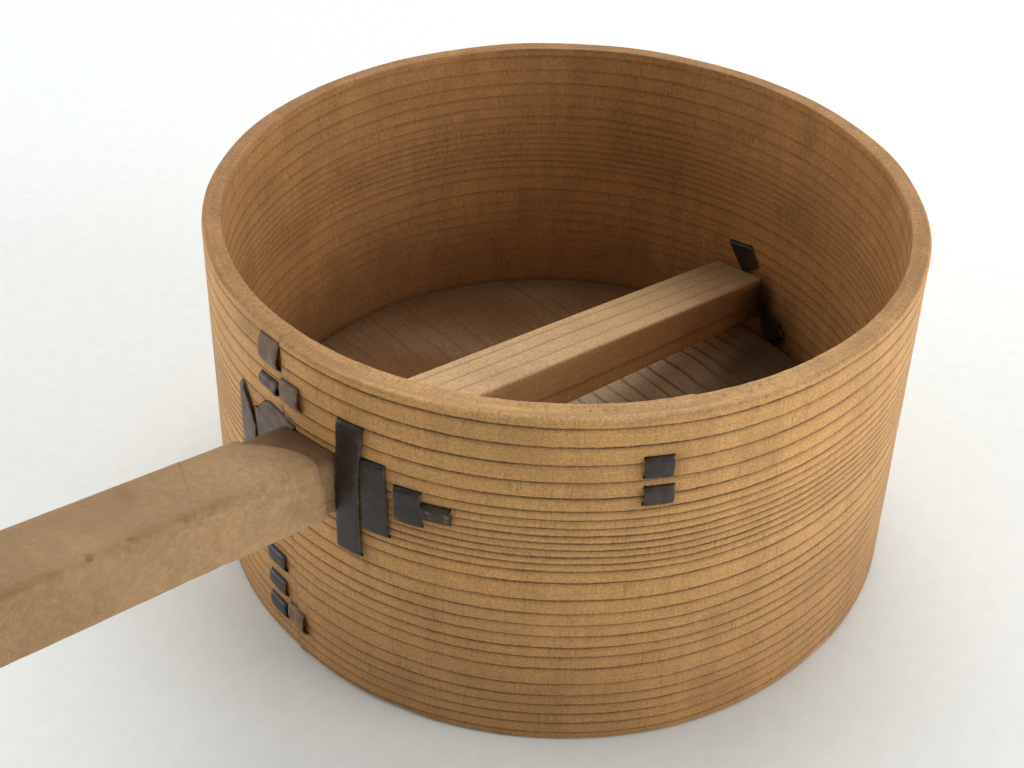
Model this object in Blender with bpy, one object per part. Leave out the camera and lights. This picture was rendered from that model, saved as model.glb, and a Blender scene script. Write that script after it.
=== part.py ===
"""A bentwood water dipper: a bent cedar cup with a square handle through its wall, laced with bark.

Frame: metres, +Z up. The cup's axis is Z, the underside of its floor is at Z = 0, and the handle
points along -X and rises as it goes. Azimuths are in degrees, counted from +X towards +Y, so the
handle leaves the cup near azimuth 180.
"""

import math

import bmesh
import bpy
from mathutils import Matrix, Vector

# The cup
RIM_RADIUS = 0.0825
FOOT_RADIUS = 0.0838
CUP_HEIGHT = 0.0846
WALL = 0.0043
WALL_STEP_DEGREES = 3
RIM_ROUND = 0.0009
FOOT_BEVEL = 0.0005

# The band's overlap, where its outer end lies over its inner end
OUTER_END = 176.2
INNER_END = 236.0
OUTER_STEP = 0.0005
OUTER_SWELL = 0.0012
SWELL_DEGREES = 14.0
FADE_END = 262.0
INNER_STEP = 0.00035
INNER_RAMP_DEGREES = 36.0
STEP_DEGREES = 0.2

# The floor board
FLOOR_THICKNESS = 0.011
FLOOR_GAP = 0.0003
FLOOR_BEVEL = 0.0004
FLOOR_SIDES = 96

# The handle: it crosses the cup a little to one side of the axis
TILT = math.radians(12.0)
AXIS_HEIGHT = 0.0394
AXIS_OFFSET = -0.0026
HANDLE_REACH = 0.385
FAR_END_GAP = 0.0017
BAR_WIDTH = 0.0150
BAR_DEPTH = 0.0140
BAR_TIP_DEPTH = 0.0127
BAR_BEVEL = 0.0005
MORTISE_GAP = 0.00035
MORTISE_REACH = 0.0172

# The paper wrapped round the handle outside the cup
WRAP_START = 0.0930
WRAP_END_MARGIN = 0.0020
WRAP_GAP = 0.0003
WRAP_THICKNESS = 0.0004
WRAP_ROUND = 0.0012
CORNER_STEPS = 3

# The bark lacing
BARK = 0.0005
BARK_GAP = 0.0003
SLIT_SIDE_GAP = 0.0004
SLIT_GAP = 0.00035
TAIL = 0.0016
BLIND_DEPTH = 0.0024
CUTTER_MARGIN = 0.0020

# Each strip: azimuth of its middle, slant in degrees, width, then the heights of its slits from
# the top down. It shows outside between the first and second slits, and again between the third
# and fourth.
THROUGH_STRIPS = {
    "bark_lap_upper": (174.1, 0.0, 0.0050, (0.0826, 0.0758, 0.0737, 0.0700)),
    "bark_lap_lower": (172.4, 0.0, 0.0050, (0.0258, 0.0219, 0.0176, 0.0139)),
    "bark_lap_edge_upper": (178.4, 0.0, 0.0050, (0.0751, 0.0709)),
    "bark_inner_end": (231.0, 0.0, 0.0054, (0.0754, 0.0709, 0.0687, 0.0640)),
    "bark_right_1": (189.5, 0.0, 0.0056, (0.0737, 0.0410)),
    "bark_right_2": (193.4, 0.0, 0.0051, (0.0662, 0.0494)),
    "bark_right_3": (197.6, 0.0, 0.0051, (0.0626, 0.0543)),
    "bark_right_4": (201.8, 0.0, 0.0054, (0.0602, 0.0564)),
    "bark_left_1": (172.5, 0.0, 0.0096, (0.0662, 0.0450)),
    "bark_left_2": (166.4, 0.0, 0.0056, (0.0648, 0.0470)),
}
BLIND_STRIPS = {
    "bark_lap_foot": (172.2, 0.0, 0.0050, (0.0103, 0.0066)),
    "bark_lap_edge_lower": (176.4, 0.0, 0.0050, (0.0126, 0.0079)),
}
# The strip behind the handle's far end runs aslant on the inside, and comes back outside.
SEAT_STRIP = "bark_far_end"
SEAT_AZIMUTH = -7.0
SEAT_SLANT = 34.0
SEAT_WIDTH = 0.0058
SEAT_HEIGHTS = (0.0372, 0.0136)
SEAT_TAIL = 0.0085
SEAT_RUN_STEP = 0.0035


def clear_scene():
    for obj in list(bpy.data.objects):
        bpy.data.objects.remove(obj)


def material(name, colour, roughness):
    made = bpy.data.materials.new(name)
    made.use_nodes = True
    shader = made.node_tree.nodes["Principled BSDF"]
    shader.inputs["Base Color"].default_value = (*colour, 1.0)
    shader.inputs["Roughness"].default_value = roughness
    shader.inputs["Metallic"].default_value = 0.0
    made.diffuse_color = (*colour, 1.0)
    return made


def finish(name, mesh_maker, look, smooth_angle=30.0):
    """A new object from a bmesh, with its normals out, its material set and its round faces smooth."""
    bmesh.ops.recalc_face_normals(mesh_maker, faces=mesh_maker.faces)
    mesh = bpy.data.meshes.new(name)
    mesh_maker.to_mesh(mesh)
    mesh_maker.free()
    mesh.shade_smooth()
    mesh.set_sharp_from_angle(angle=math.radians(smooth_angle))
    obj = bpy.data.objects.new(name, mesh)
    bpy.context.scene.collection.objects.link(obj)
    if look:
        mesh.materials.append(look)
    return obj


def skin(mesh_maker, rings, closed):
    """Quads between rings of points. A closed row of rings joins its last to its first."""
    rows = [[mesh_maker.verts.new(point) for point in ring] for ring in rings]
    count = len(rows[0])
    pairs = list(zip(rows, rows[1:]))
    if closed:
        pairs.append((rows[-1], rows[0]))
    for first, second in pairs:
        for i in range(count):
            j = (i + 1) % count
            mesh_maker.faces.new((first[i], first[j], second[j], second[i]))
    if not closed:
        mesh_maker.faces.new(rows[0])
        mesh_maker.faces.new(rows[-1])


def on_cup(radius, degrees, z):
    angle = math.radians(degrees)
    return Vector((radius * math.cos(angle), radius * math.sin(angle), z))


def ramp(value, start, end):
    return min(1.0, max(0.0, (value - start) / (end - start)))


def outer_radius(degrees, z):
    """The wall's outer radius: the cup's slight taper, swollen where the band lies over itself."""
    degrees %= 360
    swell = 0.0
    if degrees > OUTER_END:
        rise = ramp(degrees, OUTER_END + STEP_DEGREES, OUTER_END + SWELL_DEGREES)
        first = OUTER_STEP * ramp(degrees, OUTER_END, OUTER_END + STEP_DEGREES)
        swell = first + (OUTER_SWELL - OUTER_STEP) * rise
        swell *= 1.0 - ramp(degrees, INNER_END, FADE_END)
    return FOOT_RADIUS + (RIM_RADIUS - FOOT_RADIUS) * z / CUP_HEIGHT + swell


def inner_radius(degrees, z):
    """The wall's inner radius, less the inner end's own thickness up to its edge."""
    degrees %= 360
    thick = INNER_STEP * ramp(degrees, INNER_END - INNER_RAMP_DEGREES, INNER_END)
    thick *= 1.0 - ramp(degrees, INNER_END, INNER_END + STEP_DEGREES)
    return FOOT_RADIUS + (RIM_RADIUS - FOOT_RADIUS) * z / CUP_HEIGHT - WALL - thick


def wall_profile(degrees):
    """The wall's outline at one azimuth, from the foot up the outside and down the inside."""
    top = CUP_HEIGHT
    shoulder = top - RIM_ROUND
    middle = top - RIM_ROUND * (1 - math.sqrt(0.5))
    corner = RIM_ROUND * (1 - math.sqrt(0.5))
    foot_out = outer_radius(degrees, 0)
    rim_out = outer_radius(degrees, top)
    rim_in = inner_radius(degrees, top)
    return [
        on_cup(foot_out - FOOT_BEVEL, degrees, 0),
        on_cup(outer_radius(degrees, FOOT_BEVEL), degrees, FOOT_BEVEL),
        on_cup(outer_radius(degrees, shoulder), degrees, shoulder),
        on_cup(rim_out - corner, degrees, middle),
        on_cup(rim_out - RIM_ROUND, degrees, top),
        on_cup(rim_in + RIM_ROUND, degrees, top),
        on_cup(rim_in + corner, degrees, middle),
        on_cup(inner_radius(degrees, shoulder), degrees, shoulder),
        on_cup(inner_radius(degrees, 0), degrees, 0),
    ]


def wall_azimuths():
    """Even steps round the cup, with the two steps of the overlap put in."""
    steps = [float(d) for d in range(0, 360, WALL_STEP_DEGREES)]
    for edge in (OUTER_END, INNER_END):
        steps = [d for d in steps if abs(d - edge) > STEP_DEGREES * 3]
        steps += [edge, edge + STEP_DEGREES]
    return sorted(steps)


def handle_frame():
    """World matrix of the handle: X out along it, Y to its right as seen from its end, Z up."""
    along = Vector((-math.cos(TILT), 0, math.sin(TILT)))
    side = Vector((0, -1, 0))
    up = along.cross(side)
    if up.z < 0:
        up.negate()
        side.negate()
    rotation = Matrix((along, side, up)).transposed().to_4x4()
    return Matrix.Translation((0, AXIS_OFFSET, AXIS_HEIGHT)) @ rotation


def rounded_section(width, depth, radius):
    """Points of a rectangle with round corners, as (side, up) pairs."""
    points = []
    for corner in range(4):
        turn = math.radians(90 * corner)
        sign_y = (1, -1, -1, 1)[corner]
        sign_z = (1, 1, -1, -1)[corner]
        centre = (sign_y * (width / 2 - radius), sign_z * (depth / 2 - radius))
        for step in range(CORNER_STEPS + 1):
            angle = turn + math.radians(90) * step / CORNER_STEPS
            points.append((centre[0] + radius * math.cos(angle), centre[1] + radius * math.sin(angle)))
    return points


def surface_point(strip, along, across, radius_of, offset):
    """A point on the wall in a strip's own directions: along it, across it and off the surface."""
    azimuth, slant, height = strip
    lean = math.radians(slant)
    sideways = along * math.sin(lean) + across * math.cos(lean)
    z = height + along * math.cos(lean) - across * math.sin(lean)
    degrees = azimuth + math.degrees(sideways / RIM_RADIUS)
    return on_cup(radius_of(degrees, z) + offset, degrees, z)


def depth_of(station):
    """How far out a path's point lies, counted from the middle of the wall."""
    half = WALL / 2 if station[1] is outer_radius else -WALL / 2
    return half + station[2]


def ribbon(name, strip, width, path, look):
    """A strip of bark along a path of (distance along, surface, offset), mitred at its corners."""
    stations = []
    for i, (along, surface, offset) in enumerate(path):
        before = path[max(i - 1, 0)]
        after = path[min(i + 1, len(path) - 1)]
        shift = Vector((0, 0))
        for here, there in ((before, path[i]), (path[i], after)):
            if here is there:
                continue
            run = Vector((there[0] - here[0], depth_of(there) - depth_of(here))).normalized()
            shift += Vector((-run.y, run.x))
        if 0 < i < len(path) - 1:
            shift *= 1 / (1 + max(0.0, shift.length_squared / 2 - 1))
        stations.append((along, surface, offset, shift * BARK / 2))
    rings = []
    for along, surface, offset, shift in stations:
        ring = []
        for sign, order in ((1, (-1, 0, 1)), (-1, (1, 0, -1))):
            for across in order:
                ring.append(
                    surface_point(
                        strip, along + sign * shift.x, across * width / 2, surface, offset + sign * shift.y
                    )
                )
        rings.append(ring)
    maker = bmesh.new()
    skin(maker, rings, closed=False)
    return finish(name, maker, look)


def slit(strip, width, along, inner_offset):
    """A cutter for one slit: from outside the wall to inner_offset past its inner or outer face."""
    surface, offset = inner_offset
    half = BARK / 2 + SLIT_GAP
    reach = width / 2 + SLIT_SIDE_GAP
    ends = ((outer_radius, CUTTER_MARGIN), (surface, offset))
    maker = bmesh.new()
    rings = []
    for radius_of, out in ends:
        corners = ((-half, -reach), (-half, reach), (half, reach), (half, -reach))
        rings.append([surface_point(strip, along + s, u, radius_of, out) for s, u in corners])
    skin(maker, rings, closed=False)
    cutter = finish("cutter_slit", maker, None)
    hide(cutter)
    return cutter


def hide(cutter):
    cutter.hide_render = True
    cutter.display_type = "WIRE"


def cut(body, cutter):
    boolean = body.modifiers.new(cutter.name, "BOOLEAN")
    boolean.operation = "DIFFERENCE"
    boolean.solver = "EXACT"
    boolean.object = cutter


def make_wall(look):
    maker = bmesh.new()
    skin(maker, [wall_profile(degrees) for degrees in wall_azimuths()], closed=True)
    return finish("cup_wall", maker, look)


def make_floor(look):
    """A round board flush with the wall's foot."""
    radius = inner_radius(INNER_END, 0) - FLOOR_GAP
    outline = (
        (radius - FLOOR_BEVEL, 0),
        (radius, FLOOR_BEVEL),
        (radius, FLOOR_THICKNESS - FLOOR_BEVEL),
        (radius - FLOOR_BEVEL, FLOOR_THICKNESS),
    )
    maker = bmesh.new()
    steps = [360 * i / FLOOR_SIDES for i in range(FLOOR_SIDES)]
    skin(maker, [[on_cup(r, d, z) for d in steps] for r, z in outline], closed=False)
    return finish("floor_board", maker, look)


def bar_section(depth):
    half = BAR_WIDTH / 2
    return ((-half, -depth / 2), (half, -depth / 2), (half, depth / 2), (-half, depth / 2))


def make_bar(look):
    """The square bar: thinner at its tip in the cup, where it ends upright against the far wall."""
    frame = handle_frame()
    far_wall = inner_radius(0, AXIS_HEIGHT) - FAR_END_GAP
    into_frame = frame.inverted()

    def along_to_far_wall(side, up):
        """Where this edge of the bar meets the upright plane at far_wall."""
        start = frame @ Vector((0, side, up))
        direction = frame.to_3x3() @ Vector((1, 0, 0))
        hit = start + direction * ((far_wall - start.x) / direction.x)
        return (into_frame @ hit).x

    tip = [Vector((along_to_far_wall(y, z), y, z)) for y, z in bar_section(BAR_TIP_DEPTH)]
    root = [Vector((RIM_RADIUS - WALL, y, z)) for y, z in bar_section(BAR_DEPTH)]
    end = [Vector((HANDLE_REACH, y, z)) for y, z in bar_section(BAR_DEPTH)]
    maker = bmesh.new()
    skin(maker, [tip, root, end], closed=False)
    bar = finish("handle_bar", maker, look)
    bar.matrix_world = frame
    bevel = bar.modifiers.new("worn_edges", "BEVEL")
    bevel.width = BAR_BEVEL
    bevel.segments = 2
    bevel.limit_method = "ANGLE"
    return bar


def make_wrap(look):
    """The paper sleeve: an open tube round the bar."""
    inner_width = BAR_WIDTH + 2 * WRAP_GAP
    inner_depth = BAR_DEPTH + 2 * WRAP_GAP
    thick = 2 * WRAP_THICKNESS
    inside = rounded_section(inner_width, inner_depth, WRAP_ROUND - WRAP_THICKNESS)
    outside = rounded_section(inner_width + thick, inner_depth + thick, WRAP_ROUND)
    start = WRAP_START
    end = HANDLE_REACH - WRAP_END_MARGIN
    rings = [
        [Vector((x, y, z)) for y, z in outline]
        for x, outline in ((start, outside), (end, outside), (end, inside), (start, inside))
    ]
    maker = bmesh.new()
    skin(maker, rings, closed=True)
    wrap = finish("grip_wrap", maker, look)
    wrap.matrix_world = handle_frame()
    return wrap


def make_mortise():
    """The cutter for the square hole where the handle comes out of the wall."""
    maker = bmesh.new()
    bmesh.ops.create_cube(maker, size=1.0)
    bmesh.ops.scale(
        maker,
        verts=maker.verts,
        vec=(2 * MORTISE_REACH, BAR_WIDTH + 2 * MORTISE_GAP, BAR_DEPTH + 2 * MORTISE_GAP),
    )
    bmesh.ops.translate(maker, verts=maker.verts, vec=(RIM_RADIUS, 0, 0))
    cutter = finish("cutter_mortise", maker, None)
    cutter.matrix_world = handle_frame()
    hide(cutter)
    return cutter


def staple_path(slits, middle, tail):
    """A strip's path: a tail, then out of the first slit, into the second, and so on, then a tail."""
    lift = BARK_GAP + BARK / 2
    path = []
    outside = False
    for i, height in enumerate(slits):
        along = height - middle
        if i == 0 and tail is not None:
            path.append((along + tail, inner_radius, -lift))
        if tail is None:
            sides = ((outer_radius, -BLIND_DEPTH), (outer_radius, lift))
        else:
            sides = ((inner_radius, -lift), (outer_radius, lift))
        path += [(along, *side) for side in (reversed(sides) if outside else sides)]
        outside = not outside
    if tail is not None:
        path.append((slits[-1] - middle - tail, inner_radius, -lift))
    return path


def make_strip(name, azimuth, slant, width, slits, look, blind):
    """Adds one strip of bark, and returns the cutters of its slits."""
    middle = (slits[0] + slits[-1]) / 2
    strip = (azimuth, slant, middle)
    tail = None if blind else TAIL
    ribbon(name, strip, width, staple_path(slits, middle, tail), look)
    if blind:
        deepest = (outer_radius, -BLIND_DEPTH - SLIT_GAP)
    else:
        deepest = (inner_radius, -CUTTER_MARGIN)
    return [slit(strip, width, height - middle, deepest) for height in slits]


def make_seat_strip(look):
    """Adds the slanting strip at the handle's far end, and returns the cutters of its slits.

    Its two ends lie between the handle and the wall.
    """
    middle = sum(SEAT_HEIGHTS) / 2
    reach = (SEAT_HEIGHTS[0] - SEAT_HEIGHTS[1]) / 2 / math.cos(math.radians(SEAT_SLANT))
    lift = BARK_GAP + BARK / 2
    path = []
    for start, end, surface, offset in (
        (reach - SEAT_TAIL, reach, inner_radius, -lift),
        (reach, -reach, outer_radius, lift),
        (-reach, -reach + SEAT_TAIL, inner_radius, -lift),
    ):
        pieces = math.ceil(abs(end - start) / SEAT_RUN_STEP)
        path += [(start + (end - start) * i / pieces, surface, offset) for i in range(pieces + 1)]
    strip = (SEAT_AZIMUTH, SEAT_SLANT, middle)
    ribbon(SEAT_STRIP, strip, SEAT_WIDTH, path, look)
    deepest = (inner_radius, -CUTTER_MARGIN)
    return [slit(strip, SEAT_WIDTH, along, deepest) for along in (reach, -reach)]


def main():
    clear_scene()
    cedar = material("cedar_band", (0.42, 0.24, 0.11), 0.62)
    board = material("cedar_board", (0.36, 0.22, 0.11), 0.66)
    bar_wood = material("handle_wood", (0.50, 0.33, 0.18), 0.60)
    paper = material("kraft_paper", (0.36, 0.25, 0.14), 0.85)
    bark = material("cherry_bark", (0.045, 0.030, 0.026), 0.42)

    wall = make_wall(cedar)
    make_floor(board)
    make_bar(bar_wood)
    make_wrap(paper)
    cutters = [make_mortise()]
    for blind, strips in ((False, THROUGH_STRIPS), (True, BLIND_STRIPS)):
        for name, (azimuth, slant, width, slits) in strips.items():
            cutters += make_strip(name, azimuth, slant, width, slits, bark, blind)
    cutters += make_seat_strip(bark)
    for cutter in cutters:
        cut(wall, cutter)


main()
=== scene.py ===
"""The looks of the bentwood water dipper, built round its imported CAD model.

Metres, +Z up, the cup's axis on Z and the floor's underside at Z = 0. Azimuths are in degrees from +X
towards +Y. The handle leaves the cup near azimuth 180, along -X, and rises as it goes.
"""

import math

import bmesh
import bpy
import numpy as np
from mathutils import Matrix, Vector


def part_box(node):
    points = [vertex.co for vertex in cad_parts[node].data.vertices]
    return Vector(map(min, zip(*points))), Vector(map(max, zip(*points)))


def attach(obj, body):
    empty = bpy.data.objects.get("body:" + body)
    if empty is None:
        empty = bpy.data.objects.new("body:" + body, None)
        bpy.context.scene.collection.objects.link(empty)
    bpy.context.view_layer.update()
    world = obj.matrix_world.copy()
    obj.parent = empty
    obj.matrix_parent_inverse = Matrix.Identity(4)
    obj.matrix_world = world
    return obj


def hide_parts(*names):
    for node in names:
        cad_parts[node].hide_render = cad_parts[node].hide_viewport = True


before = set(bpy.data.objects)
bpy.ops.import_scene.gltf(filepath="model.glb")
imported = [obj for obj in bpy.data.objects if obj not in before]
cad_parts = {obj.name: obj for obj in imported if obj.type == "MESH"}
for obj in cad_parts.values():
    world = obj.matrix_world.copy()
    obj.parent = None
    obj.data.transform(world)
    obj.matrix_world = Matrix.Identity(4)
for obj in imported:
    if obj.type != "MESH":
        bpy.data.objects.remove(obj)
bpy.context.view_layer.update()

MM = 0.001

# ---- sizes, as the CAD has them

WALL_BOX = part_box("cup_wall")
FLOOR_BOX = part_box("floor_board")
BAR_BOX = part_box("handle_bar")

CUP_HEIGHT = WALL_BOX[1].z
FOOT_RADIUS = 83.8 * MM
RIM_RADIUS = 82.5 * MM
WALL = 4.3 * MM
# The band's outer end, where the wall steps out and swells over the overlap, and its inner end.
OUTER_END = 176.2
OUTER_STEP = 0.5 * MM
OUTER_SWELL = 1.2 * MM
SWELL_DEGREES = 14.0
FADE_END = 262.0
INNER_END = 236.0
INNER_STEP = 0.35 * MM
INNER_RAMP_DEGREES = 36.0
STEP_DEGREES = 0.2
# The bent wall isn't quite round: it is longer toward this azimuth by this share.
OVAL, OVAL_AZIMUTH = 0.0148, 37.0

TILT = math.radians(12.0)
AXIS_HEIGHT = 39.4 * MM
BAR_OFFSET = (BAR_BOX[0].y + BAR_BOX[1].y) / 2
BAR_WIDTH = BAR_BOX[1].y - BAR_BOX[0].y
BAR_DEPTH = 14.0 * MM
BAR_TIP_DEPTH = 12.7 * MM
HANDLE_REACH = 385 * MM
WRAP_REACH = HANDLE_REACH - 2 * MM

# A strip's thickness, its gap to the wall and its middle's distance from the wall.
BARK = 0.5 * MM
BARK_GAP = 0.3 * MM
LIFT = BARK_GAP + BARK / 2

# ---- numbers that repeat


def ramp(value, start, end):
    return np.clip((np.asarray(value, float) - start) / (end - start), 0.0, 1.0)


def smooth(value, start, end):
    t = ramp(value, start, end)
    return t * t * (3 - 2 * t)


def near(value, centre, reach):
    """1 at the centre, 0.37 at the reach and next to nothing at twice the reach."""
    return np.exp(-(((value - centre) / reach) ** 2))


def columns(*values):
    """Arrays or numbers side by side, as the columns of points."""
    return np.stack(np.broadcast_arrays(*values), -1)


def polar(radius, degrees, z):
    angle = np.radians(degrees)
    return columns(radius * np.cos(angle), radius * np.sin(angle), z)


def around_axis(points):
    """The azimuth from 0 to 360, the radius and the height of world points."""
    degrees = np.degrees(np.arctan2(points[:, 1], points[:, 0])) % 360
    return degrees, np.hypot(points[:, 0], points[:, 1]), points[:, 2]


def waves(seed, points, length, count=18):
    """Soft noise from about -1 to 1 at numpy points of shape (n, k): a sum of waves that long."""
    points = np.asarray(points, float)
    if points.ndim == 1:
        points = points[:, None]
    draw = np.random.default_rng(seed)
    total = np.zeros(len(points))
    for _ in range(count):
        direction = draw.normal(size=points.shape[1])
        direction /= np.linalg.norm(direction) * length * draw.uniform(0.6, 1.8)
        total += np.sin(2 * math.pi * (points @ direction) + draw.uniform(0, 2 * math.pi))
    return total * math.sqrt(2 / count) / 1.6


def oval(degrees):
    """How far the bent wall is from round at an azimuth, as a factor on its radius."""
    return 1 + OVAL * np.cos(2 * np.radians(np.asarray(degrees) - OVAL_AZIMUTH))


def taper(z):
    return FOOT_RADIUS + (RIM_RADIUS - FOOT_RADIUS) * z / CUP_HEIGHT


def outer_radius(degrees, z):
    """The wall's outer radius: the cup's slight taper, swollen where the band lies over itself."""
    degrees = np.mod(degrees, 360)
    rise = ramp(degrees, OUTER_END + STEP_DEGREES, OUTER_END + SWELL_DEGREES)
    swell = OUTER_STEP * ramp(degrees, OUTER_END, OUTER_END + STEP_DEGREES)
    swell = swell + (OUTER_SWELL - OUTER_STEP) * rise
    swell = swell * (1.0 - ramp(degrees, INNER_END, FADE_END))
    return (taper(z) + swell) * oval(degrees)


def inner_radius(degrees, z):
    """The wall's inner radius, less the inner end's own thickness up to its edge."""
    degrees = np.mod(degrees, 360)
    thick = INNER_STEP * ramp(degrees, INNER_END - INNER_RAMP_DEGREES, INNER_END)
    thick = thick * (1.0 - ramp(degrees, INNER_END, INNER_END + STEP_DEGREES))
    return (taper(z) - WALL - thick) * oval(degrees)


# ---- meshes


# A square's corners in order.
SQUARE = ((-1, -1), (1, -1), (1, 1), (-1, 1))


def link(name, data):
    obj = bpy.data.objects.new(name, data)
    bpy.context.scene.collection.objects.link(obj)
    return obj


def mesh_object(name, points, faces, sharp=None):
    """A smooth mesh with its normals outward. sharp is the angle past which an edge stays sharp."""
    mesh = bpy.data.meshes.new(name)
    mesh.from_pydata([tuple(p) for p in points], [], [tuple(f) for f in faces])
    mesh.validate()
    maker = bmesh.new()
    maker.from_mesh(mesh)
    bmesh.ops.recalc_face_normals(maker, faces=maker.faces)
    maker.to_mesh(mesh)
    maker.free()
    mesh.shade_smooth()
    if sharp:
        mesh.set_sharp_from_angle(angle=math.radians(sharp))
    return link(name, mesh)


def grid_faces(rows, around, wrap_rows=False, wrap_columns=False):
    """Quads of a grid whose points are stored row by row, each row around points long."""
    last_row = rows if wrap_rows else rows - 1
    last_column = around if wrap_columns else around - 1
    r, c = np.meshgrid(np.arange(last_row), np.arange(last_column), indexing="ij")
    r2, c2 = (r + 1) % rows, (c + 1) % around
    quads = columns(r * around + c, r * around + c2, r2 * around + c2, r2 * around + c)
    return quads.reshape(-1, 4).tolist()


def tube_faces(rows, around):
    """Faces of a tube whose rings are stored one after another, closed at both ends."""
    ends = [list(range(around)), list(range((rows - 1) * around, rows * around))]
    return grid_faces(rows, around, wrap_columns=True) + ends


def points_of(obj):
    flat = np.empty(len(obj.data.vertices) * 3, np.float32)
    obj.data.vertices.foreach_get("co", flat)
    return flat.reshape(-1, 3).astype(float)


def put_attribute(obj, name, values, kind="FLOAT"):
    values = np.asarray(values, np.float32)
    attribute = obj.data.attributes.new(name, kind, "POINT")
    attribute.data.foreach_set("vector" if kind == "FLOAT_VECTOR" else "value", values.reshape(-1))


def cut(body, cutters):
    """Cuts closed meshes out of a body and keeps the result as its mesh."""
    for cutter in cutters:
        boolean = body.modifiers.new("cut", "BOOLEAN")
        boolean.operation = "DIFFERENCE"
        boolean.solver = "MANIFOLD"
        boolean.object = cutter
    bpy.context.view_layer.update()
    graph = bpy.context.evaluated_depsgraph_get()
    mesh = bpy.data.meshes.new_from_object(body.evaluated_get(graph))
    body.modifiers.clear()
    body.data = mesh
    for cutter in cutters:
        bpy.data.objects.remove(cutter)


def finish(obj, node, look):
    """Puts the material on a piece that stands for a CAD node. The part has one body."""
    obj.data.materials.clear()
    obj.data.materials.append(look)
    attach(obj, "root")
    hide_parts(node)
    return obj


# ---- growth rings


def ring_edges(seed, start, end, width_at, spread):
    """Where each ring's dark line lies, going down from start, drawn about the width wanted there."""
    draw = np.random.default_rng(seed)
    edges = [start]
    while edges[-1] > end:
        edges.append(edges[-1] - width_at(edges[-1]) * draw.uniform(1 - spread, 1 + spread))
    return np.array(edges[::-1])


def ring_at(edges, across):
    """How many rings up each place is, and the width of the ring there."""
    middles = (edges[1:] + edges[:-1]) / 2
    count = np.interp(across, edges, np.arange(len(edges), dtype=float))
    return count, np.interp(across, middles, np.diff(edges))


def put_rings(obj, edges, across, along, third, crisp=1.0, stain_and_shade=0.0, soot_and_shade=0.0, greyed=0.0):
    """Stores each point's place in the grain, how its wood has aged, and the shade and light painted on it.

    crisp is how clearly its ring lines show; greyed is how weathered it is, and the other two are how
    stained and sooty it is, with painted shade and painted light added in.
    """
    count, width = ring_at(edges, across)
    put_attribute(obj, "ring", count)
    put_attribute(obj, "ring_width", width / MM)
    put_attribute(obj, "grain", columns(along, across, third), "FLOAT_VECTOR")
    for name, values in (("crisp", crisp), ("stain_and_shade", stain_and_shade), ("soot_and_shade", soot_and_shade), ("greyed", greyed)):
        put_attribute(obj, name, np.broadcast_to(np.clip(values, 0, 1), len(across)))


# ---- materials


class Look:
    """A material with short calls for its nodes. An argument may be a socket or a plain value."""

    def __init__(self, name):
        self.material = bpy.data.materials.new(name)
        self.material.use_nodes = True
        self.tree = self.material.node_tree
        self.shader = self.tree.nodes["Principled BSDF"]

    def wire(self, value, socket):
        if isinstance(value, bpy.types.NodeSocket):
            self.tree.links.new(value, socket)
        elif value is not None:
            socket.default_value = value

    def node(self, kind, **settings):
        made = self.tree.nodes.new(kind)
        for key, value in settings.items():
            setattr(made, key, value)
        return made

    def attribute(self, name, output="Fac"):
        return self.node("ShaderNodeAttribute", attribute_name=name).outputs[output]

    def math(self, operation, a, b=None, clamp=False):
        made = self.node("ShaderNodeMath", operation=operation, use_clamp=clamp)
        self.wire(a, made.inputs[0])
        self.wire(b, made.inputs[1])
        return made.outputs[0]

    def times(self, value, *others):
        for other in others:
            value = self.math("MULTIPLY", value, other)
        return value

    def plus(self, value, *others):
        for other in others:
            value = self.math("ADD", value, other)
        return value

    def rest(self, value):
        return self.math("SUBTRACT", 1.0, value)

    def noise(self, place, scale, detail=3, rough=0.55, distortion=0.0, offset=(0, 0, 0)):
        """Noise over places in the grain, with its own scale in each direction."""
        mapped = self.node("ShaderNodeMapping")
        self.wire(place, mapped.inputs["Vector"])
        mapped.inputs["Scale"].default_value = scale
        mapped.inputs["Location"].default_value = offset
        made = self.node("ShaderNodeTexNoise")
        self.wire(mapped.outputs[0], made.inputs["Vector"])
        numbers = {"Scale": 1.0, "Detail": detail, "Roughness": rough, "Distortion": distortion}
        for key, number in numbers.items():
            made.inputs[key].default_value = number
        return made.outputs["Fac"]

    def remap(self, value, low, high, new_low=0.0, new_high=1.0):
        """A soft step from new_low at low to new_high at high."""
        made = self.node("ShaderNodeMapRange", interpolation_type="SMOOTHSTEP")
        self.wire(value, made.inputs["Value"])
        numbers = {"From Min": low, "From Max": high, "To Min": new_low, "To Max": new_high}
        for key, number in numbers.items():
            self.wire(number, made.inputs[key])
        return made.outputs["Result"]

    def mix(self, factor, first, second, blend="MIX"):
        made = self.node("ShaderNodeMix", data_type="RGBA", blend_type=blend)
        self.wire(factor, made.inputs[0])
        for value, socket in ((first, made.inputs[6]), (second, made.inputs[7])):
            if isinstance(value, tuple):
                value = (*value, 1.0)
            self.wire(value, socket)
        return made.outputs[2]

    def bump(self, height, distance, strength):
        made = self.node("ShaderNodeBump")
        made.inputs["Strength"].default_value = strength
        made.inputs["Distance"].default_value = distance
        self.wire(height, made.inputs["Height"])
        return made.outputs["Normal"]

    def finish(self, colour, roughness, normal, **numbers):
        """Numbers that are the same all over go straight onto the shader's own sockets."""
        self.wire(colour, self.shader.inputs["Base Color"])
        self.wire(roughness, self.shader.inputs["Roughness"])
        self.wire(normal, self.shader.inputs["Normal"])
        for key, value in numbers.items():
            self.shader.inputs[key.replace("_", " ")].default_value = value
        return self.material


# How deep each surface's finest detail is.
WOOD_RELIEF = 0.11 * MM
PAPER_RELIEF = 0.26 * MM
BARK_RELIEF = 0.08 * MM
TABLE_RELIEF = 0.20 * MM

GREYED = (0.43, 0.272, 0.135)
# Near black: soot, and painted shade where the wood lies in shadow.
SOOT_AND_SHADE = (0.020, 0.014, 0.012)


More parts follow.
